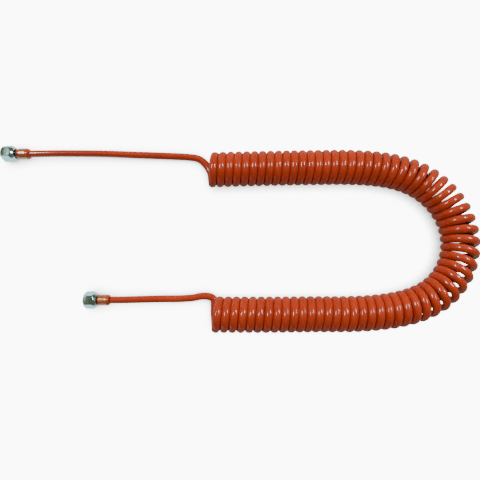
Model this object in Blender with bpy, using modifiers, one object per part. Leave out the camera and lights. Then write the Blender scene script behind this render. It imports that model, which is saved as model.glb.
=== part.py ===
"""Coiled air hose with a union nut on each end, laid out in a U on a flat surface.

The hose is one 8 mm tube wound into a close left-handed coil. The coil's two straight legs run
along X and its bend is at +X. A straight tail leaves the open end of each leg and ends in a
fitting: a barbed nipple, a crimp ferrule that squeezes the hose on to it, and a union nut that
spins on the nipple. Metres, +Z up. The origin is on the surface, under the middle of the
object. Letter a is the rear side (+Y, the long tail) and b is the front side (-Y).
"""

import math

import bmesh
import bpy
from mathutils import Matrix, Vector

# Hose and coil
HOSE_RADIUS = 0.004
HOSE_BORE_RADIUS = 0.0025
COIL_RADIUS = 0.01975  # outer radius of the wound coil
FACE_GAP = 0.0005  # between the cut faces of two stretches of the coil
LEG_END_X = 0.115  # the straight legs end here and the bend begins

# Guide points of the coil's centre line, from the open end of leg a round the bend to leg b
COIL_GUIDES = [
    (-0.028, 0.074),
    (0.039, 0.076),
    (0.095, 0.077),
    (0.154, 0.078),
    (0.210, 0.068),
    (0.250, 0.028),
    (0.256, -0.027),
    (0.221, -0.075),
    (0.151, -0.087),
    (0.097, -0.086),
    (0.040, -0.087),
    (-0.0235, -0.0865),
]
# Route points of the two tails, from the fitting to the coil's open end
TAIL_ROUTES = {
    "a": [
        (-0.2355, 0.0962, 0.0085),
        (-0.2210, 0.0965, 0.0084),
        (-0.2000, 0.0970, 0.0079),
        (-0.1550, 0.0973, 0.0066),
        (-0.1100, 0.0963, 0.0053),
        (-0.0720, 0.0953, 0.0043),
        (-0.0520, 0.0943, 0.0040),
        (-0.0400, 0.0918, 0.0040),
        (-0.0312, 0.0838, 0.0040),
    ],
    "b": [
        (-0.1368, -0.0712, 0.0085),
        (-0.1220, -0.0711, 0.0082),
        (-0.1000, -0.0706, 0.0066),
        (-0.0800, -0.0702, 0.0052),
        (-0.0610, -0.0701, 0.0042),
        (-0.0460, -0.0691, 0.0040),
        (-0.0350, -0.0672, 0.0040),
        (-0.0258, -0.0681, 0.0040),
    ],
}
TAIL_STEP = 0.016
COIL_STEP = 0.014

# Fittings. Stations are distances forward (towards -X) from the place where the hose, at its
# own diameter, enters the fitting.
NUT_ACROSS_FLATS = 0.017
NUT_REAR = {"a": 0.0152, "b": 0.0139}
NUT_LENGTH = 0.0145
NUT_WALL = 0.0035  # the nut's rear wall, which the nipple's neck passes through
NUT_NECK_HOLE_RADIUS = 0.0047
THREAD_BORE_RADIUS = 0.00573  # minor diameter of G 1/4
MOUTH_RADIUS = 0.0066
# The cones that chamfer the nut's two ends: radius at the end face, and length for each radius
NUT_FRONT_CONE = (0.0074, 1.1)
NUT_REAR_CONE = (0.0063, 1.25)

FERRULE_START = {"a": 0.0014, "b": 0.0026}
FERRULE_LENGTH = 0.0101
FERRULE_RADIUS = 0.0063
FERRULE_INNER_RADIUS = 0.0055
FERRULE_ROUNDING = 0.0005

NIPPLE_BORE_RADIUS = 0.0023
STEM_START = 0.0016
BARB_COUNT = 4
BARB_PITCH = 0.0026
BARB_ROOT_RADIUS = 0.0031
BARB_PEAK_RADIUS = 0.0036
NECK_START = 0.0138
NECK_RADIUS = 0.0043
COLLAR_GAP = 0.0003  # between the collar and the nut's rear wall
COLLAR_LENGTH = 0.0020
COLLAR_RADIUS = 0.0054
SEAT_LENGTH = 0.0022
NOSE_RADIUS = 0.0032
NOSE_TIP = {"a": 0.0356, "b": 0.0240}  # nose a stands out of its nut, nose b stays inside

# The hose swells over the barbs, and bulges where the ferrule squeezes it out to the rear
HOSE_END_START = 0.0003
HOSE_END_FRONT = 0.0137
HOSE_END_RADIUS = 0.0052
HOSE_BULGE_RADIUS = 0.0059
HOSE_BULGE_LENGTH = 0.0007
HOSE_END_BORE_RADIUS = 0.0039
EDGE_BREAK = 0.0003

TURN_STEPS = 32
MERGE = 0.00001
CURVE_SAMPLES = 24  # samples in each span of a guide curve

COLLECTION_NAME = "coiled_air_hose"
CUTTERS_NAME = "cutters"


def clear_scene():
    for obj in list(bpy.data.objects):
        bpy.data.objects.remove(obj)


def new_collection(name):
    collection = bpy.data.collections.new(name)
    bpy.context.scene.collection.children.link(collection)
    return collection


def material(name, colour, roughness, metallic):
    made = bpy.data.materials.new(name)
    made.use_nodes = True
    shader = made.node_tree.nodes["Principled BSDF"]
    shader.inputs["Base Color"].default_value = (*colour, 1.0)
    shader.inputs["Roughness"].default_value = roughness
    shader.inputs["Metallic"].default_value = metallic
    return made


def guide_curve(guides):
    """Points along the uniform cubic B-spline of the guides, straight at both ends."""
    padded = [Vector(guides[0])] * 2 + [Vector(g) for g in guides] + [Vector(guides[-1])] * 2
    points = []
    for a, b, c, d in zip(padded, padded[1:], padded[2:], padded[3:]):
        for i in range(CURVE_SAMPLES):
            t = i / CURVE_SAMPLES
            weights = (
                (1 - t) ** 3,
                3 * t**3 - 6 * t**2 + 4,
                -3 * t**3 + 3 * t**2 + 3 * t + 1,
                t**3,
            )
            points.append(sum((w * p for w, p in zip(weights, (a, b, c, d))), a * 0) / 6)
    points.append(Vector(guides[-1]))
    return points


def route_curve(route):
    """Points along the Catmull-Rom curve through the route's points."""
    points = [Vector(p) for p in route]
    padded = [points[0] * 2 - points[1]] + points + [points[-1] * 2 - points[-2]]
    curve = []
    for a, b, c, d in zip(padded, padded[1:], padded[2:], padded[3:]):
        for i in range(CURVE_SAMPLES):
            t = i / CURVE_SAMPLES
            curve.append(
                (b * 2 + (c - a) * t + (a * 2 - b * 5 + c * 4 - d) * t**2
                 + (b * 3 - a - c * 3 + d) * t**3) / 2
            )
    curve.append(points[-1])
    return curve


def evenly_spaced(points, step, start=0.0, end=None):
    """Points a near-equal step apart along a polyline, between two distances from its start."""
    lengths = [0.0]
    for a, b in zip(points, points[1:]):
        lengths.append(lengths[-1] + (b - a).length)
    end = lengths[-1] if end is None else end
    count = max(2, round((end - start) / step) + 1)
    spaced = []
    k = 0
    for i in range(count):
        distance = start + (end - start) * i / (count - 1)
        while k < len(points) - 2 and lengths[k + 1] < distance:
            k += 1
        share = (distance - lengths[k]) / (lengths[k + 1] - lengths[k])
        spaced.append(points[k].lerp(points[k + 1], share))
    return spaced


def distance_where(points, test):
    """Distance along a polyline of its first point that passes the test."""
    distance = 0.0
    for a, b in zip(points, points[1:]):
        if test(a):
            return distance
        distance += (b - a).length
    return distance


def tube(name, points, radius, resolution, look, collection):
    curve = bpy.data.curves.new(name, "CURVE")
    curve.dimensions = "3D"
    curve.bevel_depth = radius
    curve.bevel_resolution = resolution
    curve.use_fill_caps = True
    curve.materials.append(look)
    spline = curve.splines.new("POLY")
    spline.points.add(len(points) - 1)
    for slot, point in zip(spline.points, points):
        slot.co = (*point, 1.0)
    obj = bpy.data.objects.new(name, curve)
    collection.objects.link(obj)
    return obj


def turned(name, profile, look, collection, parent):
    """A closed profile of (radius, station) points turned about the parent's Z axis."""
    mesh = bpy.data.meshes.new(name)
    edges = [(i, (i + 1) % len(profile)) for i in range(len(profile))]
    mesh.from_pydata([(r, 0.0, z) for r, z in profile], edges, [])
    mesh.materials.append(look)
    obj = bpy.data.objects.new(name, mesh)
    obj.parent = parent
    collection.objects.link(obj)
    screw = obj.modifiers.new("turn", "SCREW")
    screw.axis = "Z"
    screw.steps = TURN_STEPS
    screw.render_steps = TURN_STEPS
    screw.use_merge_vertices = True
    screw.merge_threshold = MERGE
    screw.use_smooth_shade = True
    return obj


def fitting_frame(name, route, collection):
    """An empty at the hose's exit, whose Z axis points forward and whose X axis is level."""
    empty = bpy.data.objects.new(name, None)
    empty.empty_display_size = NUT_LENGTH
    level, down, forward = Vector((0, 1, 0)), Vector((0, 0, -1)), Vector((-1, 0, 0))
    turn = Matrix((level, down, forward)).transposed()
    empty.matrix_world = Matrix.Translation(route[0]) @ turn.to_4x4()
    collection.objects.link(empty)
    return empty


def nipple_profile(side):
    """Outer side from the nose tip back to the stem's end, then the bore forward again."""
    tip = NOSE_TIP[side]
    collar = NUT_REAR[side] + NUT_WALL + COLLAR_GAP
    outer = [
        (NOSE_RADIUS - EDGE_BREAK, tip),
        (NOSE_RADIUS, tip - EDGE_BREAK),
        (NOSE_RADIUS, collar + COLLAR_LENGTH + SEAT_LENGTH),
        (COLLAR_RADIUS, collar + COLLAR_LENGTH),
        (COLLAR_RADIUS, collar),
        (NECK_RADIUS, collar),
        (NECK_RADIUS, NECK_START),
        (BARB_ROOT_RADIUS, NECK_START),
    ]
    for i in reversed(range(BARB_COUNT)):
        start = STEM_START + i * BARB_PITCH
        outer.append((BARB_ROOT_RADIUS, start + BARB_PITCH))
        outer.append((BARB_PEAK_RADIUS, start + BARB_PITCH - EDGE_BREAK))
    outer.append((BARB_ROOT_RADIUS - EDGE_BREAK, STEM_START))
    return outer + [(NIPPLE_BORE_RADIUS, STEM_START), (NIPPLE_BORE_RADIUS, tip)]


def ferrule_profile(side):
    start = FERRULE_START[side]
    end = start + FERRULE_LENGTH
    edge = FERRULE_RADIUS - FERRULE_ROUNDING
    return [
        (edge, end),
        (FERRULE_RADIUS, end - FERRULE_ROUNDING),
        (FERRULE_RADIUS, start + FERRULE_ROUNDING),
        (edge, start),
        (FERRULE_INNER_RADIUS, start),
        (FERRULE_INNER_RADIUS, end),
    ]


def hose_end_profile(side):
    bulge_end = FERRULE_START[side] - EDGE_BREAK
    return [
        (HOSE_END_RADIUS, HOSE_END_FRONT),
        (HOSE_END_RADIUS, FERRULE_START[side]),
        (HOSE_BULGE_RADIUS, bulge_end),
        (HOSE_BULGE_RADIUS, bulge_end - HOSE_BULGE_LENGTH),
        (HOSE_RADIUS, HOSE_END_START),
        (HOSE_BORE_RADIUS, HOSE_END_START),
        (HOSE_END_BORE_RADIUS, STEM_START - EDGE_BREAK),
        (HOSE_END_BORE_RADIUS, HOSE_END_FRONT),
    ]


def boolean(obj, cutter, operation):
    cut = obj.modifiers.new(cutter.name, "BOOLEAN")
    cut.object = cutter
    cut.operation = operation
    cut.solver = "EXACT"


def nut_chamfer_profile(rear):
    """A body of revolution that leaves the hexagon's ends chamfered."""
    wide = 0.6 * NUT_ACROSS_FLATS  # just beyond the hexagon's corners
    front = rear + NUT_LENGTH
    (front_radius, front_slope), (rear_radius, rear_slope) = NUT_FRONT_CONE, NUT_REAR_CONE
    return [
        (0.0, front),
        (front_radius, front),
        (wide, front - (wide - front_radius) * front_slope),
        (wide, rear + (wide - rear_radius) * rear_slope),
        (rear_radius, rear),
        (0.0, rear),
    ]


def nut_bore_profile(rear):
    """The hole through the nut: neck hole, threaded bore and chamfered mouth."""
    front = rear + NUT_LENGTH
    inner_wall = rear + NUT_WALL
    beyond = 0.002
    mouth = MOUTH_RADIUS - THREAD_BORE_RADIUS
    return [
        (0.0, front + beyond),
        (MOUTH_RADIUS, front + beyond),
        (MOUTH_RADIUS, front),
        (THREAD_BORE_RADIUS, front - mouth),
        (THREAD_BORE_RADIUS, inner_wall),
        (NUT_NECK_HOLE_RADIUS, inner_wall),
        (NUT_NECK_HOLE_RADIUS, rear - beyond),
        (0.0, rear - beyond),
    ]


def open_turned(name, profile, look, collection, parent):
    """A profile that starts and ends on the axis, turned into a closed solid."""
    obj = turned(name, profile, look, collection, parent)
    solid = bmesh.new()
    solid.from_mesh(obj.data)
    solid.edges.ensure_lookup_table()
    on_axis = [e for e in solid.edges if all(abs(v.co.x) < MERGE for v in e.verts)]
    bmesh.ops.delete(solid, geom=on_axis, context="EDGES")
    solid.to_mesh(obj.data)
    solid.free()
    return obj


def as_cutter(obj):
    obj.hide_render = True
    obj.display_type = "WIRE"
    return obj


def union_nut(name, rear, look, collection, cutters, parent):
    solid = bmesh.new()
    corner = NUT_ACROSS_FLATS / math.sqrt(3)
    flat_up = Matrix.Rotation(math.radians(30), 4, "Z")
    middle = Matrix.Translation((0, 0, rear + NUT_LENGTH / 2)) @ flat_up
    bmesh.ops.create_cone(
        solid, cap_ends=True, segments=6, radius1=corner, radius2=corner,
        depth=NUT_LENGTH, matrix=middle,
    )
    mesh = bpy.data.meshes.new(name)
    solid.to_mesh(mesh)
    solid.free()
    mesh.materials.append(look)
    nut = bpy.data.objects.new(name, mesh)
    nut.parent = parent
    collection.objects.link(nut)
    chamfer = open_turned(f"{name}_chamfer", nut_chamfer_profile(rear), look, cutters, parent)
    bore = open_turned(f"{name}_bore", nut_bore_profile(rear), look, cutters, parent)
    boolean(nut, as_cutter(chamfer), "INTERSECT")
    boolean(nut, as_cutter(bore), "DIFFERENCE")
    return nut


def coil(look, collection):
    """The outer shape of the wound coil, in two straight legs and the bend between them."""
    axis = [Vector((*p, COIL_RADIUS)) for p in guide_curve(COIL_GUIDES)]
    bend_start = distance_where(axis, lambda p: p.x > LEG_END_X)
    bend_end = distance_where(axis, lambda p: p.x < LEG_END_X and p.y < 0)
    half_gap = FACE_GAP / 2
    stretches = {
        "coil_leg_a": (0.0, bend_start - half_gap),
        "coil_bend": (bend_start + half_gap, bend_end - half_gap),
        "coil_leg_b": (bend_end + half_gap, None),
    }
    for name, (start, end) in stretches.items():
        points = evenly_spaced(axis, COIL_STEP, start, end)
        tube(name, points, COIL_RADIUS, 10, look, collection)


def main():
    clear_scene()
    parts = new_collection(COLLECTION_NAME)
    cutters = new_collection(CUTTERS_NAME)
    cutters.hide_render = True
    orange = material("hose_orange", (0.62, 0.10, 0.03), 0.25, 0.0)
    plated = material("plated_steel", (0.72, 0.78, 0.80), 0.25, 1.0)
    bronze = material("ferrule_bronze", (0.60, 0.36, 0.20), 0.35, 1.0)
    coil(orange, parts)
    for side, route in TAIL_ROUTES.items():
        tail = evenly_spaced(route_curve(route), TAIL_STEP)
        tube(f"tail_{side}", tail, HOSE_RADIUS, 3, orange, parts)
        frame = fitting_frame(f"fitting_{side}", route, parts)
        turned(f"hose_end_{side}", hose_end_profile(side), orange, parts, frame)
        turned(f"nipple_{side}", nipple_profile(side), plated, parts, frame)
        turned(f"ferrule_{side}", ferrule_profile(side), bronze, parts, frame)
        union_nut(f"union_nut_{side}", NUT_REAR[side], plated, parts, cutters, frame)


main()
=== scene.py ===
import math

import bmesh
import bpy
import numpy as np
from mathutils import Matrix, Vector


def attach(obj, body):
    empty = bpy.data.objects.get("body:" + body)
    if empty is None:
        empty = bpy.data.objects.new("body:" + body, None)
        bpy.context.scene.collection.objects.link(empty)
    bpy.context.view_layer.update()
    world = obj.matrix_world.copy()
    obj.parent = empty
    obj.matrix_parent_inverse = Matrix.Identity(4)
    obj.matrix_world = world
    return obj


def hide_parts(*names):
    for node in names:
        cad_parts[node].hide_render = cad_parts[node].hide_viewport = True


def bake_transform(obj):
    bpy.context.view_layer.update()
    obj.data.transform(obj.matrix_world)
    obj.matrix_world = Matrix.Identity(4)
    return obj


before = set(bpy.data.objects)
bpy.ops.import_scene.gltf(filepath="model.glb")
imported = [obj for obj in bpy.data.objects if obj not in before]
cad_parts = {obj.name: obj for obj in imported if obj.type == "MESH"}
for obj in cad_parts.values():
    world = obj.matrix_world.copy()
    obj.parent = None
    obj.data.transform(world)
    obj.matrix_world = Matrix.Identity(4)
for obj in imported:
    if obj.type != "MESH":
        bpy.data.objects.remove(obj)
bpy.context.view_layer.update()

# Lengths are in metres. Side a is the long tail's side, and side b the short tail's.

# ---- Hose and coil, as in part.py ----------------------------------------------------------------
HOSE_RADIUS = 0.004
COIL_RADIUS = 0.01975
WINDING_RADIUS = COIL_RADIUS - HOSE_RADIUS
# Winding squeezes the hose a little flat: half its size along the coil and half through it
FLAT_ALONG = 0.00448
FLAT_THROUGH = 0.00375
FLAT_RADIUS = COIL_RADIUS - FLAT_THROUGH  # winding radius of the flattened hose
FLAT_FADE = 0.035  # length of tail over which the hose turns from round to flat
LEG_END_X = 0.115  # where the straight legs end and the bend starts
COIL_GUIDES = [
    (-0.028, 0.074),
    (0.039, 0.076),
    (0.095, 0.077),
    (0.154, 0.078),
    (0.210, 0.068),
    (0.250, 0.028),
    (0.256, -0.027),
    (0.221, -0.075),
    (0.151, -0.087),
    (0.097, -0.086),
    (0.040, -0.087),
    (-0.0235, -0.0865),
]
TAIL_ROUTES = {
    "a": [
        (-0.2355, 0.0962, 0.0085),
        (-0.2210, 0.0965, 0.0084),
        (-0.2000, 0.0970, 0.0079),
        (-0.1550, 0.0973, 0.0066),
        (-0.1100, 0.0963, 0.0053),
        (-0.0720, 0.0953, 0.0043),
        (-0.0520, 0.0943, 0.0040),
        (-0.0400, 0.0918, 0.0040),
        (-0.0312, 0.0838, 0.0040),
    ],
    "b": [
        (-0.1368, -0.0712, 0.0085),
        (-0.1220, -0.0711, 0.0082),
        (-0.1000, -0.0706, 0.0066),
        (-0.0800, -0.0702, 0.0052),
        (-0.0610, -0.0701, 0.0042),
        (-0.0460, -0.0691, 0.0040),
        (-0.0350, -0.0672, 0.0040),
        (-0.0258, -0.0681, 0.0040),
    ],
}
# Where each tail runs on, under the coil's first turn, before it starts to climb
TAIL_JOINS = {"a": [], "b": [(-0.0219, -0.0718, 0.0040), (-0.0213, -0.0790, 0.0040)]}
TURNS = 66
FIRST_TURN = 0.25  # whole turns are the coil's outermost points, and quarters its lowest
COIL_START_X = {"a": -0.0262, "b": -0.0213}
PITCH_GROWTH = 0.017  # share by which the pitch is wider at coil end b than at end a
JOIN_AIM = 0.09  # turns past the coil's start at which the tail's curve is aimed

RINGS_PER_TURN = 48
RING_STEP = 2 * math.pi * WINDING_RADIUS / RINGS_PER_TURN
HOSE_SIDES = 32
TAIL_SAMPLES = 60  # curve points between two points of a tail's route
AXIS_SAMPLES = 200  # and between two of the coil's guides

# ---- Fittings, in stations forward from the hose's exit, as in part.py ---------------------------
NUT_ACROSS_FLATS = 0.017
NUT_REAR = {"a": 0.0152, "b": 0.0139}
NUT_LENGTH = 0.0145
NUT_WALL = 0.0035
NUT_NECK_HOLE_RADIUS = 0.0047
NUT_FRONT_CONE = (0.0074, 1.1)  # radius at the nut's end, and slope
NUT_REAR_CONE = (0.0063, 1.25)
NUT_CORNER_RADIUS = 0.0006
NUT_CORNER_STEPS = 3  # to each side of a corner's middle
NUT_FLAT_STEPS = 16
NUT_EDGE = 0.00035
NUT_SHARP = math.radians(70)
THREAD_MINOR_RADIUS = 0.00573
THREAD_MAJOR_RADIUS = 0.00658
THREAD_PITCH = 0.001337
THREAD_STEPS = 12  # rows in each pitch
THREAD_REAR_GAP = 0.0002  # between the thread and the nut's rear wall
THREAD_FRONT_GAP = 0.0006  # between the thread and the nut's mouth
MOUTH_RADIUS = 0.0067

FERRULE_START = {"a": 0.0014, "b": 0.0026}
FERRULE_LENGTH = 0.0101
FERRULE_RADIUS = 0.0063
FERRULE_INNER_RADIUS = 0.0055
FERRULE_LIP = 0.0005  # how far each end's face stands inside the sleeve's outside
FERRULE_EDGE = 0.0003
FERRULE_ROUNDING = 0.0004
FERRULE_ROUNDING_LENGTH = 0.0006
FERRULE_STEPS = 48
FERRULE_RINGS = 16
RING_HEIGHT = 0.000006
CRIMPS = 8
CRIMP_DEPTH = 0.00012
CRIMP_FROM_END = 0.0010
CRIMP_RUN_IN = 0.0008
FERRULE_SHARP = math.radians(50)

STEM_START = 0.0016
BARB_COUNT = 4
BARB_PITCH = 0.0026
BARB_ROOT_RADIUS = 0.0031
BARB_PEAK_RADIUS = 0.0036
BARB_BACK = 0.0003  # how far a barb's peak stands behind its steep side
NECK_START = 0.0138
NECK_RADIUS = 0.0043
COLLAR_GAP = 0.0003
COLLAR_LENGTH = 0.0020
COLLAR_RADIUS = 0.0054
SEAT_LENGTH = 0.0022
NOSE_RADIUS = 0.0032
NIPPLE_BORE_RADIUS = 0.0023
NIPPLE_CHAMFER = 0.0003
NIPPLE_EDGE = 0.0002
NIPPLE_SHARP = math.radians(40)
NOSE_TIP = {"a": 0.0356, "b": 0.0240}

HOSE_END_FRONT = 0.0137
HOSE_END_RADIUS = 0.0052
HOSE_BULGE_RADIUS = 0.0060
BULGE_LENGTH = 0.0019
HOSE_END_BORE_RADIUS = 0.0039
HOSE_END_RIM = 0.0003  # how far the mouth's flat face stops inside its outside
HOSE_END_ROUNDING = 0.0004
HOSE_END_SWELL = 0.0001
SHOULDER_START = 0.0008  # inside the ferrule's rear end, where the hose starts to widen
SHOULDER_END = 0.0001
SHOULDER_INSET = 0.0005  # how far its wide end is short of the bulge's radius
BULGE_GAP = 0.0002  # between the ferrule and the bulge's widest point
BULGE_ROUNDNESS = (0.8, 1.6)  # powers that fill out its profile, across and along
BULGE_STEPS = 10
HIDDEN_INSETS = (0.0004, 0.0012)  # how far the mouth's rear edge turns in, inside the hose
HIDDEN_RUN = 0.0008  # from the first inset to the second

TURN_STEPS = 96  # points round a turned piece
EDGE_SHARE = 0.3  # of each side, the most that a rounded corner takes

# ---- Camera --------------------------------------------------------------------------------------
CAMERA_AT = (0.0055, -0.0557, 0.4324)
CAMERA_TILT = math.radians(5.77)
CAMERA_PAN = math.radians(0.6)
CAMERA_LENS = 28.2
CAMERA_SHIFT = (-0.0048, 0.0163)


def camera():
    data = bpy.data.cameras.new("camera")
    data.lens = CAMERA_LENS
    data.shift_x, data.shift_y = CAMERA_SHIFT
    cam = bpy.data.objects.new("camera", data)
    turn = Matrix.Rotation(CAMERA_TILT, 4, "X") @ Matrix.Rotation(-CAMERA_PAN, 4, "Y")
    cam.matrix_world = Matrix.Translation(CAMERA_AT) @ turn
    bpy.context.scene.collection.objects.link(cam)
    bpy.context.scene.camera = cam


# ---- Colours, as linear red, green, blue and alpha -----------------------------------------------
BLACK = (0, 0, 0, 1)
WHITE = (1, 1, 1, 1)
HOSE_DARK = (0.34, 0.032, 0.012, 1)
HOSE_LIGHT = (0.43, 0.043, 0.016, 1)
HOSE_SPECKS = (0.66, 0.12, 0.02, 1)
ZINC_DARK = (0.34, 0.70, 0.80, 1)
ZINC_LIGHT = (0.48, 0.82, 0.88, 1)
ZINC_STAIN = (0.30, 0.34, 0.30, 1)
# Painted shade: a dark colour mixed into the zinc where other surfaces stand near
ZINC_PAINTED_SHADE = (0.05, 0.045, 0.04, 1)
PAINTED_SHADE_REACH = 0.005  # how near a neighbour has to be for the painted shade to darken the zinc
BRONZE_DARK = (0.42, 0.15, 0.055, 1)
BRONZE_LIGHT = (0.58, 0.23, 0.10, 1)
BRONZE_FILM = (0.24, 0.08, 0.03, 1)
TABLE_COLOUR = (0.10, 0.12, 0.13, 1)
TABLE_WARM_GLOW = (1.0, 0.74, 0.50, 1)
ROOM_LIT = (1.0, 0.70, 0.42, 1)  # as light, and in mirrors
ROOM_SEEN = (0.9, 0.95, 1.0, 1)  # to the camera

# ---- Table, room and lights ----------------------------------------------------------------------
TABLE_SIZE = 6.0
TABLE_DROP = 0.0002  # below the object, so that the two don't share a plane
SHADE_REACH = 0.014  # how far from the object the table's painted shadow reaches
SHADE_POWER = 2.2
SEEN_STRENGTH = 10.0  # the table's glow to the camera
LIT_STRENGTH = 0.42  # and as light
CARD_STRENGTH = 1.3  # what shiny pieces mirror of the table, left of CARD_EDGE
MIRRORED_STRENGTH = 0.2  # and right of it
CARD_EDGE = (-0.15, -0.12)  # X at which the change starts and ends
ROOM_LIT_STRENGTH = 0.17
ROOM_SEEN_STRENGTH = 2.5

LIGHT_AIM = (0.08, 0.0, 0.02)
# Azimuths in degrees from +X towards +Y, elevations up from the table, and powers in watts
LIGHTS = {
    "softbox_left": {
        "azimuth": 162, "elevation": 57, "distance": 6.0, "size": (2.1, 0.48),
        "power": 180, "colour": (1.0, 1.0, 1.0),
    },
    "softbox_left_dimmed": {
        "azimuth": 162, "elevation": 57, "distance": 6.0, "size": (2.4, 0.75),
        "power": 12, "colour": (1.0, 0.9, 0.7),
    },
    "softbox_right": {
        "azimuth": 22, "elevation": 51, "distance": 1.2, "size": (0.42, 0.12),
        "power": 8, "colour": (1.0, 1.0, 1.0),
    },
    "window_fill": {
        "azimuth": 90, "elevation": 30, "distance": 2.4, "size": (2.0, 1.0),
        "power": 30, "colour": (1.0, 0.85, 0.6),
    },
}


# ---- Materials -----------------------------------------------------------------------------------
# The Mix node has sockets of one name for each data type, so its colour ones go by number
MIX_INPUTS = (0, 6, 7)
MIX_OUTPUT = 2


class Surface:
    """A material whose nodes are added one at a time around its Principled shader."""

    def __init__(self, name):
        self.material = bpy.data.materials.new(name)
        self.material.use_nodes = True
        self.nodes = self.material.node_tree.nodes
        self.links = self.material.node_tree.links
        self.shader = self.nodes["Principled BSDF"]
        self.place = self.nodes.new("ShaderNodeTexCoord").outputs["Object"]

    def set(self, **inputs):
        """Sets the shader's inputs, whose names have _ for a space."""
        for name, value in inputs.items():
            self.put(name.replace("_", " "), value)
        return self

    def put(self, name, value, node=None):
        """Sets one input, by its name or number, to a value or to another node's output."""
        socket = (node or self.shader).inputs[name]
        if isinstance(value, bpy.types.NodeSocket):
            self.links.new(value, socket)
        else:
            socket.default_value = value

    def stretched(self, scale, source=None):
        node = self.nodes.new("ShaderNodeMapping")
        self.put("Vector", source or self.place, node)
        self.put("Scale", scale, node)
        return node.outputs["Vector"]

    def noise(self, scale, detail, source=None, roughness=0.55):
        node = self.nodes.new("ShaderNodeTexNoise")
        self.put("Vector", source or self.place, node)
        self.put("Scale", scale, node)
        self.put("Detail", detail, node)
        self.put("Roughness", roughness, node)
        return node.outputs["Fac"]

    def bands(self, scale, direction, distortion):
        node = self.nodes.new("ShaderNodeTexWave")
        node.wave_type = "BANDS"
        node.bands_direction = direction
        self.put("Vector", self.place, node)
        self.put("Scale", scale, node)
        self.put("Distortion", distortion, node)
        return node.outputs["Fac"]

    def ramp(self, value, low, high, first=BLACK, second=WHITE):
        """The first colour up to low, the second from high on, and a blend of them between."""
        node = self.nodes.new("ShaderNodeValToRGB")
        ends = zip(node.color_ramp.elements, (low, high), (first, second))
        for element, position, colour in ends:
            element.position = position
            element.color = colour
        self.put("Fac", value, node)
        return node.outputs["Color"]

    def calculate(self, operation, first, second):
        node = self.nodes.new("ShaderNodeMath")
        node.operation = operation
        self.put(0, first, node)
        self.put(1, second, node)
        return node.outputs["Value"]

    def between(self, value, low, high, over=(0.0, 1.0)):
        """From low to high while the value runs over its range."""
        node = self.nodes.new("ShaderNodeMapRange")
        self.put("Value", value, node)
        self.put("From Min", over[0], node)
        self.put("From Max", over[1], node)
        self.put("To Min", low, node)
        self.put("To Max", high, node)
        return node.outputs["Result"]

    def mix(self, share, first, second):
        """The first colour where share is 0 and the second where it is 1."""
        node = self.nodes.new("ShaderNodeMix")
        node.data_type = "RGBA"
        for socket, value in zip(MIX_INPUTS, (share, first, second)):
            self.put(socket, value, node)
        return node.outputs[MIX_OUTPUT]

    def openness(self, reach):
        """1 in the open, and less where something stands nearer than reach."""
        node = self.nodes.new("ShaderNodeAmbientOcclusion")
        self.put("Distance", reach, node)
        return node.outputs["AO"]

    def bump(self, height, strength, distance, normal=None):
        node = self.nodes.new("ShaderNodeBump")
        self.put("Height", height, node)
        self.put("Strength", strength, node)
        self.put("Distance", distance, node)
        if normal is not None:
            self.put("Normal", normal, node)
        return node.outputs["Normal"]


def hose_material():
    """Glossy orange polyurethane, slightly translucent, with scuffs under the gloss and faint
    draw lines along the tube."""
    made = Surface("hose_orange")
    clouds = made.noise(scale=38.0, detail=3.0)
    grain = made.noise(scale=900.0, detail=2.0)
    colour = made.ramp(clouds, 0.3, 0.7, HOSE_DARK, HOSE_LIGHT)
    colour = made.mix(made.between(grain, 0.0, 0.05), colour, HOSE_SPECKS)
    along = made.nodes.new("ShaderNodeUVMap").outputs["UV"]
    drawn_out = made.stretched((1.0, 0.25, 1.0), along)
    lines = made.noise(scale=9.0, detail=2.0, source=drawn_out)
    squashed = made.stretched((1.0, 1.0, 3.0))
    scuffs = made.noise(scale=120.0, detail=5.0, source=squashed, roughness=0.7)
    made.set(
        Base_Color=colour,
        Roughness=made.between(scuffs, 0.30, 0.42),
        Specular_IOR_Level=0.1,
        Subsurface_Weight=0.08,
        Subsurface_Radius=(1.0, 0.2, 0.05),
        Subsurface_Scale=0.0012,
        Coat_Weight=1.0,
        Coat_Roughness=0.12,
        Coat_IOR=1.5,
    )
    made.put("Normal", made.bump(lines, strength=0.05, distance=0.00005))
    return made.material


def zinc_material():
    """Bright zinc plating with a blue cast, fine turning marks, and painted shade darkening its
    corners.
    """
    made = Surface("plated_steel")
    patches = made.noise(scale=160.0, detail=4.0)
    colour = made.ramp(patches, 0.3, 0.7, ZINC_DARK, ZINC_LIGHT)
    stains = made.ramp(made.noise(scale=420.0, detail=5.0), 0.58, 0.80)
    colour = made.mix(stains, colour, ZINC_STAIN)
    # Painted shade: the zinc darkens in corners and recesses, where neighbouring surfaces stand
    # near
    painted_shade = made.between(made.openness(PAINTED_SHADE_REACH), 1.0, 0.0, (0.45, 0.85))
    colour = made.mix(painted_shade, colour, ZINC_PAINTED_SHADE)
    marks = made.bands(scale=2600.0, direction="Z", distortion=1.5)
    pits = made.noise(scale=2200.0, detail=3.0)
    wear = made.noise(scale=300.0, detail=4.0)
    made.set(Base_Color=colour, Metallic=1.0, Roughness=made.between(wear, 0.12, 0.26))
    pitted = made.bump(pits, strength=0.10, distance=0.00003)
    made.put("Normal", made.bump(marks, strength=0.06, distance=0.00003, normal=pitted))
    return made.material


def bronze_material():
    """Satin copper-coloured sleeve with fine rings and a darker film in them."""
    made = Surface("ferrule_bronze")
    rings = made.bands(scale=1100.0, direction="Z", distortion=0.6)
    film = made.noise(scale=380.0, detail=5.0)
    colour = made.ramp(film, 0.3, 0.75, BRONZE_DARK, BRONZE_LIGHT)
    colour = made.mix(made.between(rings, 0.0, 0.4), colour, BRONZE_FILM)
    made.set(
        Base_Color=colour,
        Metallic=0.45,
        Roughness=made.between(film, 0.16, 0.24),
        Coat_Weight=1.0,
        Coat_Roughness=0.12,
    )
    made.put("Normal", made.bump(rings, strength=0.2, distance=0.00004))
    return made.material


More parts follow.
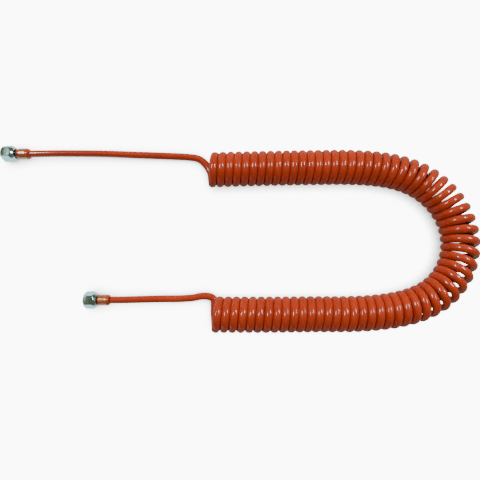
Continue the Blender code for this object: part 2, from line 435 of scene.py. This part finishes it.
# ---- Curves --------------------------------------------------------------------------------------
def spline_through(points, before, after):
    """Points along the Catmull-Rom curve through the points. before and after lie past its ends
    and say how it heads there."""
    padded = [np.array(p, float) for p in [before, *points, after]]
    curve = []
    for a, b, c, d in zip(padded, padded[1:], padded[2:], padded[3:]):
        for i in range(TAIL_SAMPLES):
            t = i / TAIL_SAMPLES
            curve.append(
                (
                    b * 2
                    + (c - a) * t
                    + (a * 2 - b * 5 + c * 4 - d) * t**2
                    + (b * 3 - a - c * 3 + d) * t**3
                )
                / 2
            )
    curve.append(padded[-2])
    return np.array(curve)


def lengths_along(points):
    steps = np.linalg.norm(np.diff(points, axis=0), axis=1)
    return np.concatenate([[0.0], np.cumsum(steps)])


def evenly_spaced(points, step):
    along = lengths_along(points)
    at = np.linspace(0.0, along[-1], round(along[-1] / step) + 1)
    return np.stack([np.interp(at, along, points[:, k]) for k in range(3)], axis=1)


def coil_axis():
    """The coil's centre line, a uniform cubic B-spline: points, headings and bend to the right."""
    first, last = COIL_GUIDES[0], COIL_GUIDES[-1]
    guides = [np.array(g) for g in [first, first, *COIL_GUIDES, last, last]]
    t = (np.arange(AXIS_SAMPLES) / AXIS_SAMPLES)[:, None]
    basis = [(1 - t) ** 3, 3 * t**3 - 6 * t**2 + 4, -3 * t**3 + 3 * t**2 + 3 * t + 1, t**3]
    slope = [-3 * (1 - t) ** 2, 9 * t**2 - 12 * t, -9 * t**2 + 6 * t + 3, 3 * t**2]
    curl = [6 * (1 - t), 18 * t - 12, -18 * t + 6, 6 * t]
    spans = list(zip(guides, guides[1:], guides[2:], guides[3:]))
    points, first, second = (
        np.concatenate([sum(w * g for w, g in zip(terms, span)) / 6 for span in spans])
        for terms in (basis, slope, curl)
    )
    speed = np.linalg.norm(first, axis=1)
    moving = speed > 0
    points, first, second, speed = points[moving], first[moving], second[moving], speed[moving]
    bend = (first[:, 1] * second[:, 0] - first[:, 0] * second[:, 1]) / speed**3
    return points, first / speed[:, None], bend


class Coil:
    """The hose's line round the coil, by turn number."""

    def __init__(self):
        self.axis, self.heading, bend = coil_axis()
        along = lengths_along(self.axis)
        growth = 1 + PITCH_GROWTH * (along / along[-1] - 0.5)
        # Turns touch on the inside of the bend, so a length of axis has fewer of them there
        density = (1 - bend * WINDING_RADIUS) / growth
        wound = np.concatenate(
            [[0.0], np.cumsum((density[1:] + density[:-1]) / 2 * np.diff(along))]
        )
        middle = len(along) // 2
        start = np.interp(COIL_START_X["a"], self.axis[:middle, 0], wound[:middle])
        end = np.interp(COIL_START_X["b"], self.axis[:middle:-1, 0], wound[:middle:-1])
        self.turn = FIRST_TURN + TURNS * (wound - start) / (end - start)
        leg_a, leg_b = self.axis[:middle, 0], self.axis[middle:, 0]
        self.leg_end = {
            "a": float(np.interp(LEG_END_X, leg_a, self.turn[:middle])),
            "b": float(np.interp(-LEG_END_X, -leg_b, self.turn[middle:])),
        }

    def points(self, turns):
        turns = np.atleast_1d(turns)
        x, y, hx, hy = (
            np.interp(turns, self.turn, values)
            for values in (*self.axis.T, *self.heading.T)
        )
        out = FLAT_RADIUS * np.cos(2 * np.pi * turns)
        up = COIL_RADIUS - FLAT_RADIUS * np.sin(2 * np.pi * turns)
        return np.stack([x - hy * out, y + hx * out, up], axis=1)

    def headings(self, turns):
        hx, hy = (np.interp(turns, self.turn, values) for values in self.heading.T)
        return np.stack([hx, hy, np.zeros_like(hx)], axis=1)


def half_line(coil, side):
    """The hose from fitting to mid bend. At each point: its place, its turn number, how far it is
    pressed flat, the direction in which it is wide, and its heading."""
    last = FIRST_TURN + TURNS
    middle = FIRST_TURN + TURNS / 2
    first, step = (FIRST_TURN, 1) if side == "a" else (last, -1)
    count = round((TURNS / 2) * RINGS_PER_TURN)
    wound_turns = np.linspace(first, middle, count + 1)
    wound = coil.points(wound_turns)
    route = [np.array(p) for p in TAIL_ROUTES[side] + TAIL_JOINS[side]]
    after = coil.points(first + step * JOIN_AIM)[0]
    before = route[0] * 2 - route[1]
    tail = spline_through([*route, wound[0]], before, after)
    tail = evenly_spaced(tail, RING_STEP)[:-1]
    left = np.arange(len(tail), 0, -1) * RING_STEP
    fade = np.clip(1 - left / FLAT_FADE, 0.0, 1.0)
    flat = fade * fade * (3 - 2 * fade)
    # The tail sinks as it flattens, to stay on the table
    low = HOSE_RADIUS - (HOSE_RADIUS - FLAT_THROUGH) * flat
    tail[:, 2] = np.maximum(tail[:, 2] - (HOSE_RADIUS - low), low)
    line = np.concatenate([tail, wound])
    turns = np.concatenate([np.full(len(tail), float(first)), wound_turns])
    flat = np.concatenate([flat, np.ones(len(wound))])
    heading = np.gradient(line, axis=0)
    heading /= np.linalg.norm(heading, axis=1)[:, None]
    # Wide along the coil where the hose is wound, and carried back from there along the tail
    wide = np.zeros_like(line)
    wide[len(tail) :] = coil.headings(wound_turns)
    for i in reversed(range(len(tail))):
        wide[i] = wide[i + 1]
        wide[i] -= heading[i] * (wide[i] @ heading[i])
        wide[i] /= np.linalg.norm(wide[i])
    wide -= heading * np.sum(wide * heading, axis=1)[:, None]
    wide /= np.linalg.norm(wide, axis=1)[:, None]
    return line, turns, flat, wide, heading


# ---- Meshes --------------------------------------------------------------------------------------
def new_piece(name, mesh, look):
    mesh.materials.append(look)
    mesh.shade_smooth()
    piece = bpy.data.objects.new(name, mesh)
    bpy.context.scene.collection.objects.link(piece)
    return piece


def face_outward(mesh):
    fix = bmesh.new()
    fix.from_mesh(mesh)
    bmesh.ops.recalc_face_normals(fix, faces=fix.faces)
    fix.to_mesh(mesh)
    fix.free()


def tube(name, line, flat, wide, heading, sides):
    """The closed hose round its line, with a UV map of its way round and its way along."""
    thin = np.cross(heading, wide)
    angles = 2 * np.pi * np.arange(sides) / sides
    along_coil = HOSE_RADIUS + (FLAT_ALONG - HOSE_RADIUS) * flat
    through = HOSE_RADIUS + (FLAT_THROUGH - HOSE_RADIUS) * flat
    rings = (
        line[:, None, :]
        + along_coil[:, None, None] * np.cos(angles)[None, :, None] * wide[:, None, :]
        + through[:, None, None] * np.sin(angles)[None, :, None] * thin[:, None, :]
    )
    count = len(line)
    faces = []
    for i in range(count - 1):
        for j in range(sides):
            k = (j + 1) % sides
            faces.append((i * sides + j, (i + 1) * sides + j, (i + 1) * sides + k, i * sides + k))
    faces.append(tuple(range(sides)))
    faces.append(tuple((count - 1) * sides + j for j in reversed(range(sides))))
    mesh = bpy.data.meshes.new(name)
    mesh.from_pydata(rings.reshape(-1, 3).tolist(), [], faces)
    along = lengths_along(line)
    layer = mesh.uv_layers.new(name="way")
    uvs = []
    for i in range(count - 1):
        for j in range(sides):
            low, high = along[i], along[i + 1]
            around, following = j / sides, (j + 1) / sides
            uvs += [around, low, around, high, following, high, following, low]
    uvs += [0.0, 0.0] * (2 * sides)
    layer.data.foreach_set("uv", uvs)
    face_outward(mesh)
    return mesh


def loft(name, rows):
    """A closed ring of quads through rows of points, each row a closed loop, the last one joining
    the first."""
    count, size = len(rows), len(rows[0])
    faces = []
    for i in range(count):
        n = (i + 1) % count
        for j in range(size):
            k = (j + 1) % size
            faces.append((i * size + j, i * size + k, n * size + k, n * size + j))
    mesh = bpy.data.meshes.new(name)
    mesh.from_pydata([tuple(p) for row in rows for p in row], [], faces)
    face_outward(mesh)
    return mesh


def circle(radius, station, shape=None):
    """A row of points round the axis. shape gives what to add to the radius at each angle."""
    row = []
    for i in range(TURN_STEPS):
        angle = 2 * math.pi * i / TURN_STEPS
        r = radius + (shape(angle) if shape else 0.0)
        row.append((r * math.cos(angle), r * math.sin(angle), station))
    return row


def eased(profile, size):
    """The closed (radius, station) profile with each corner rounded by three points, the outer
    two at most size from it."""
    points = [Vector(p) for p in profile]
    done = []
    for i, corner in enumerate(points):
        back, on = points[i - 1] - corner, points[(i + 1) % len(points)] - corner
        reach = min(size, back.length * EDGE_SHARE)
        inner = back.normalized() + on.normalized()
        done.append(corner + back.normalized() * reach)
        done.append(corner + inner * reach * EDGE_SHARE)
        done.append(corner + on.normalized() * min(size, on.length * EDGE_SHARE))
    return done


def fitting_place(side):
    """The fitting's frame: its origin at the hose's exit and its Z axis forward."""
    level, down, forward = Vector((0, 1, 0)), Vector((0, 0, -1)), Vector((-1, 0, 0))
    turn = Matrix((level, down, forward)).transposed()
    return Matrix.Translation(TAIL_ROUTES[side][0]) @ turn.to_4x4()


# ---- Pieces --------------------------------------------------------------------------------------
def hose_half(coil, side, look):
    line, turns, flat, wide, heading = half_line(coil, side)
    name = f"hose_{side}"
    mesh = tube(name, line, flat, wide, heading, HOSE_SIDES)
    piece = new_piece(name, mesh, look)
    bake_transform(piece)
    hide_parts(f"coil_leg_{side}", f"tail_{side}", "coil_bend")
    return piece


def hose_end(side, look, place):
    """The hose's mouth, swollen over the barbs and squeezed out behind the ferrule."""
    rear = FERRULE_START[side]
    profile = [
        (HOSE_END_BORE_RADIUS, HOSE_END_FRONT),
        (HOSE_END_RADIUS - HOSE_END_RIM, HOSE_END_FRONT),
        (HOSE_END_RADIUS + HOSE_END_SWELL, HOSE_END_FRONT - HOSE_END_ROUNDING),
        (HOSE_END_RADIUS, rear + FERRULE_LENGTH - HOSE_END_ROUNDING),
        (HOSE_END_RADIUS - HOSE_END_SWELL, rear + SHOULDER_START),
        (HOSE_BULGE_RADIUS - SHOULDER_INSET, rear + SHOULDER_END),
    ]
    for i in range(BULGE_STEPS + 1):
        fall = math.pi / 2 * i / BULGE_STEPS
        across, back = math.cos(fall) ** BULGE_ROUNDNESS[0], math.sin(fall) ** BULGE_ROUNDNESS[1]
        radius = HOSE_RADIUS + (HOSE_BULGE_RADIUS - HOSE_RADIUS) * across
        profile.append((radius, rear - BULGE_GAP - BULGE_LENGTH * back))
    profile += [
        (HOSE_RADIUS - HIDDEN_INSETS[0], rear - BULGE_LENGTH),
        (HOSE_RADIUS - HIDDEN_INSETS[1], rear - BULGE_LENGTH + HIDDEN_RUN),
        (HOSE_END_BORE_RADIUS, max(STEM_START, rear)),
    ]
    name = f"hose_mouth_{side}"
    mesh = loft(name, [circle(r, z) for r, z in profile])
    uv = mesh.uv_layers.new(name="way")
    spots = []
    for loop in mesh.loops:
        x, y, z = mesh.vertices[loop.vertex_index].co
        spots += [math.atan2(y, x) / (2 * math.pi), z]
    uv.data.foreach_set("uv", spots)
    piece = new_piece(name, mesh, look)
    piece.matrix_world = place
    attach(piece, f"end_{side}")
    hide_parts(f"hose_end_{side}")
    return piece


def nipple(side, look, place):
    """Nose, collar in front of the nut's rear wall, neck, and barbed stem inside the hose."""
    tip = NOSE_TIP[side]
    collar = NUT_REAR[side] + NUT_WALL + COLLAR_GAP
    profile = [
        (NIPPLE_BORE_RADIUS + NIPPLE_CHAMFER, tip),
        (NOSE_RADIUS, tip),
        (NOSE_RADIUS, collar + COLLAR_LENGTH + SEAT_LENGTH),
        (COLLAR_RADIUS, collar + COLLAR_LENGTH),
        (COLLAR_RADIUS, collar),
        (NECK_RADIUS, collar),
        (NECK_RADIUS, NECK_START),
        (BARB_ROOT_RADIUS, NECK_START),
    ]
    for i in reversed(range(BARB_COUNT)):
        start = STEM_START + i * BARB_PITCH
        profile.append((BARB_ROOT_RADIUS, start + BARB_PITCH))
        profile.append((BARB_PEAK_RADIUS, start + BARB_PITCH - BARB_BACK))
    profile += [
        (BARB_ROOT_RADIUS - NIPPLE_CHAMFER, STEM_START),
        (NIPPLE_BORE_RADIUS, STEM_START),
        (NIPPLE_BORE_RADIUS, tip - NIPPLE_CHAMFER),
    ]
    name = f"hose_tail_nipple_{side}"
    mesh = loft(name, [circle(r, z) for r, z in eased(profile, NIPPLE_EDGE)])
    piece = new_piece(name, mesh, look)
    piece.matrix_world = place
    mesh.set_sharp_from_angle(angle=NIPPLE_SHARP)
    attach(piece, f"end_{side}")
    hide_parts(f"nipple_{side}")
    return piece


def ferrule(side, look, place):
    """The sleeve, with fine turned rings and the shallow dents that the crimping jaws leave."""

    def crimped(depth):
        return lambda angle: -depth * (0.5 + 0.5 * math.cos(CRIMPS * angle)) ** 2

    start = FERRULE_START[side]
    end = start + FERRULE_LENGTH
    lip = FERRULE_RADIUS - FERRULE_LIP
    rows = [circle(FERRULE_INNER_RADIUS, end), circle(lip, end)]
    for i in range(FERRULE_STEPS + 1):
        share = i / FERRULE_STEPS
        station = end - FERRULE_EDGE - (FERRULE_LENGTH - 2 * FERRULE_EDGE) * share
        inside = min(share, 1 - share) * FERRULE_LENGTH
        rounding = FERRULE_ROUNDING * max(0.0, 1 - inside / FERRULE_ROUNDING_LENGTH) ** 2
        jaw = CRIMP_DEPTH * min(1.0, max(0.0, (inside - CRIMP_FROM_END) / CRIMP_RUN_IN))
        ring = RING_HEIGHT * math.cos(2 * math.pi * share * FERRULE_RINGS)
        rows.append(circle(FERRULE_RADIUS - rounding + ring, station, crimped(jaw)))
    rows += [circle(lip, start), circle(FERRULE_INNER_RADIUS, start)]
    name = f"crimp_sleeve_{side}"
    piece = new_piece(name, loft(name, rows), look)
    piece.data.set_sharp_from_angle(angle=FERRULE_SHARP)
    piece.matrix_world = place
    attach(piece, f"end_{side}")
    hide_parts(f"ferrule_{side}")
    return piece


def hexagon():
    """Points round a hexagon with rounded corners. Its first corner is at +X, which lies level on
    a fitting, so that flats face up and down."""
    half = NUT_ACROSS_FLATS / 2
    corner = (half - NUT_CORNER_RADIUS) / math.cos(math.pi / 6)
    row = []
    for side in range(6):
        middle = math.pi / 3 * side
        centre = Vector((math.cos(middle), math.sin(middle))) * corner
        for i in range(-NUT_CORNER_STEPS, NUT_CORNER_STEPS + 1):
            angle = middle + math.pi / 6 * i / NUT_CORNER_STEPS
            row.append(centre + Vector((math.cos(angle), math.sin(angle))) * NUT_CORNER_RADIUS)
        following = middle + math.pi / 3
        last = row[-1]
        first = Vector((math.cos(following), math.sin(following))) * corner
        angle = following - math.pi / 6
        first += Vector((math.cos(angle), math.sin(angle))) * NUT_CORNER_RADIUS
        for i in range(1, NUT_FLAT_STEPS):
            row.append(last.lerp(first, i / NUT_FLAT_STEPS))
    return row


def nut_rows(rear_face):
    """Rows of the nut's surface: outside from the mouth to the rear, then forward inside it,
    through the neck's hole and along the thread."""
    front_face = rear_face + NUT_LENGTH
    outline = hexagon()
    directions = [p.normalized() for p in outline]

    def ring(radius, station):
        return [(d.x * radius, d.y * radius, station) for d in directions]

    def crease(end, inward, cone, back, tuck):
        """Where the end's cone meets the sides: moved back along them and tucked in from them."""
        row = []
        for p, d in zip(outline, directions):
            fall = (p.length - cone[0]) * cone[1]
            radius = p.length - tuck
            row.append((d.x * radius, d.y * radius, end + inward * (fall + back)))
        return row

    def cone_ring(end, inward, cone, share):
        """On the end's cone, at a share of the way from its face to the sides."""
        row = []
        for p, d in zip(outline, directions):
            radius = cone[0] + (p.length - cone[0]) * share
            row.append((d.x * radius, d.y * radius, end + inward * (radius - cone[0]) * cone[1]))
        return row

    # Three creases in a row round the edge between a cone and the sides
    edge = NUT_EDGE
    front, rear = NUT_FRONT_CONE, NUT_REAR_CONE
    rows = [
        ring(MOUTH_RADIUS, front_face - edge * 0.5),
        ring(MOUTH_RADIUS + edge * 0.4, front_face),
        ring(front[0] - edge * 0.5, front_face),
        cone_ring(front_face, -1, front, 0.15),
        cone_ring(front_face, -1, front, 0.5),
        crease(front_face, -1, front, -edge * front[1], edge),
        crease(front_face, -1, front, -edge * 0.1, edge * 0.22),
        crease(front_face, -1, front, edge * 1.2, 0.0),
    ]
    for share in (0.4, 0.5):
        station = front_face - NUT_LENGTH * share
        rows.append([(p.x, p.y, station) for p in outline])
    rows += [
        crease(rear_face, 1, rear, edge * 1.2, 0.0),
        crease(rear_face, 1, rear, -edge * 0.1, edge * 0.22),
        crease(rear_face, 1, rear, -edge * rear[1], edge),
        cone_ring(rear_face, 1, rear, 0.5),
        cone_ring(rear_face, 1, rear, 0.15),
        ring(rear[0] - edge * 0.5, rear_face),
        ring(NUT_NECK_HOLE_RADIUS + edge, rear_face),
        ring(NUT_NECK_HOLE_RADIUS, rear_face + edge),
        ring(NUT_NECK_HOLE_RADIUS, rear_face + NUT_WALL),
        ring(THREAD_MINOR_RADIUS, rear_face + NUT_WALL),
    ]
    start = rear_face + NUT_WALL + THREAD_REAR_GAP
    end = front_face - THREAD_FRONT_GAP
    depth = THREAD_MAJOR_RADIUS - THREAD_MINOR_RADIUS
    count = round((end - start) / THREAD_PITCH * THREAD_STEPS)
    for i in range(count + 1):
        station = start + (end - start) * i / count
        fade = min(1.0, (station - start) / THREAD_PITCH)
        row = []
        for d in directions:
            phase = station / THREAD_PITCH + math.atan2(d.y, d.x) / (2 * math.pi)
            wave = 0.5 + 0.5 * math.cos(2 * math.pi * phase)
            radius = THREAD_MINOR_RADIUS + depth * wave * fade
            row.append((d.x * radius, d.y * radius, station))
        rows.append(row)
    return rows


def union_nut(side, look, place):
    name = f"hex_nut_{side}"
    mesh = loft(name, nut_rows(NUT_REAR[side]))
    piece = new_piece(name, mesh, look)
    mesh.set_sharp_from_angle(angle=NUT_SHARP)
    piece.matrix_world = place
    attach(piece, f"nut_{side}")
    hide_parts(f"union_nut_{side}")
    return piece


# ---- Stage ---------------------------------------------------------------------------------------
def floor():
    """A plain white table top. It shows brighter to the camera than it lights the object, and dims
    in a painted shadow near the object. Round the fittings it is whiter, and brighter in what their
    metal mirrors."""
    bpy.ops.mesh.primitive_plane_add(size=TABLE_SIZE, location=(0.0, 0.0, -TABLE_DROP))
    table = bpy.context.object
    table.name = "table_top"
    made = Surface("table_white").set(Base_Color=TABLE_COLOUR, Roughness=0.9)
    path = made.nodes.new("ShaderNodeLightPath").outputs
    # Painted shadow: the table's glow to the camera dims where the object stands near
    clear = made.between(made.openness(SHADE_REACH), 0.10, 1.0, (0.1, 0.90))
    dimmed = made.calculate("POWER", clear, SHADE_POWER)
    seen = made.calculate("MULTIPLY", dimmed, SEEN_STRENGTH)
    place = made.nodes.new("ShaderNodeSeparateXYZ")
    made.put("Vector", made.place, place)
    card = made.between(place.outputs["X"], CARD_STRENGTH, MIRRORED_STRENGTH, CARD_EDGE)
    glow = made.between(path["Is Glossy Ray"], LIT_STRENGTH, card)
    by_fittings = made.between(place.outputs["X"], 1.0, 0.0, CARD_EDGE)
    tint = made.mix(by_fittings, TABLE_WARM_GLOW, WHITE)
    made.put("Emission Color", made.mix(path["Is Camera Ray"], tint, WHITE))
    made.put("Emission Strength", made.between(path["Is Camera Ray"], glow, seen))
    # Sampled as a lamp, the table would mottle the hose's shading
    made.material.cycles.emission_sampling = "NONE"
    table.data.materials.append(made.material)
    return table


def area_light(name):
    """One of the rectangular LIGHTS, aimed at LIGHT_AIM."""
    settings = LIGHTS[name]
    data = bpy.data.lights.new(name, "AREA")
    data.shape = "RECTANGLE"
    data.size, data.size_y = settings["size"]
    data.energy = settings["power"]
    data.color = settings["colour"]
    light = bpy.data.objects.new(name, data)
    a, e = math.radians(settings["azimuth"]), math.radians(settings["elevation"])
    way = Vector((math.cos(a) * math.cos(e), math.sin(a) * math.cos(e), math.sin(e)))
    light.location = Vector(LIGHT_AIM) + way * settings["distance"]
    light.rotation_euler = way.to_track_quat("Z", "Y").to_euler()
    bpy.context.scene.collection.objects.link(light)
    return light


def lights(lit_fully, lit_dimly):
    """Two softboxes and a wide soft fill from the rear. The left softbox lights the pieces in the
    first collection, and a dimmer one in its place lights those in the second."""
    area_light("softbox_left").light_linking.receiver_collection = lit_fully
    area_light("softbox_left_dimmed").light_linking.receiver_collection = lit_dimly
    area_light("softbox_right")
    area_light("window_fill").visible_glossy = False


def room():
    """A world that is warm and dim as light and in mirrors, and pale to the camera."""
    world = bpy.data.worlds.new("room")
    bpy.context.scene.world = world
    world.use_nodes = True
    world.cycles.sampling_method = "NONE"  # even all round, it needs none
    nodes, links = world.node_tree.nodes, world.node_tree.links
    warm, pale = nodes["Background"], nodes.new("ShaderNodeBackground")
    warm.inputs["Color"].default_value = ROOM_LIT
    warm.inputs["Strength"].default_value = ROOM_LIT_STRENGTH
    pale.inputs["Color"].default_value = ROOM_SEEN
    pale.inputs["Strength"].default_value = ROOM_SEEN_STRENGTH
    seen, either = nodes.new("ShaderNodeLightPath"), nodes.new("ShaderNodeMixShader")
    links.new(seen.outputs["Is Camera Ray"], either.inputs[0])
    links.new(warm.outputs[0], either.inputs[1])
    links.new(pale.outputs[0], either.inputs[2])
    links.new(either.outputs[0], nodes["World Output"].inputs["Surface"])


def main():
    camera()
    coil = Coil()
    orange = hose_material()
    zinc = zinc_material()
    bronze = bronze_material()
    lit_fully = bpy.data.collections.new("lit_fully")
    lit_dimly = bpy.data.collections.new("lit_dimly")
    for side in ("a", "b"):
        place = fitting_place(side)
        lit_fully.objects.link(hose_half(coil, side, orange))
        lit_fully.objects.link(hose_end(side, orange, place))
        lit_fully.objects.link(ferrule(side, bronze, place))
        lit_fully.objects.link(nipple(side, zinc, place))
        lit_dimly.objects.link(union_nut(side, zinc, place))
    lit_fully.objects.link(floor())
    lights(lit_fully, lit_dimly)
    room()


main()
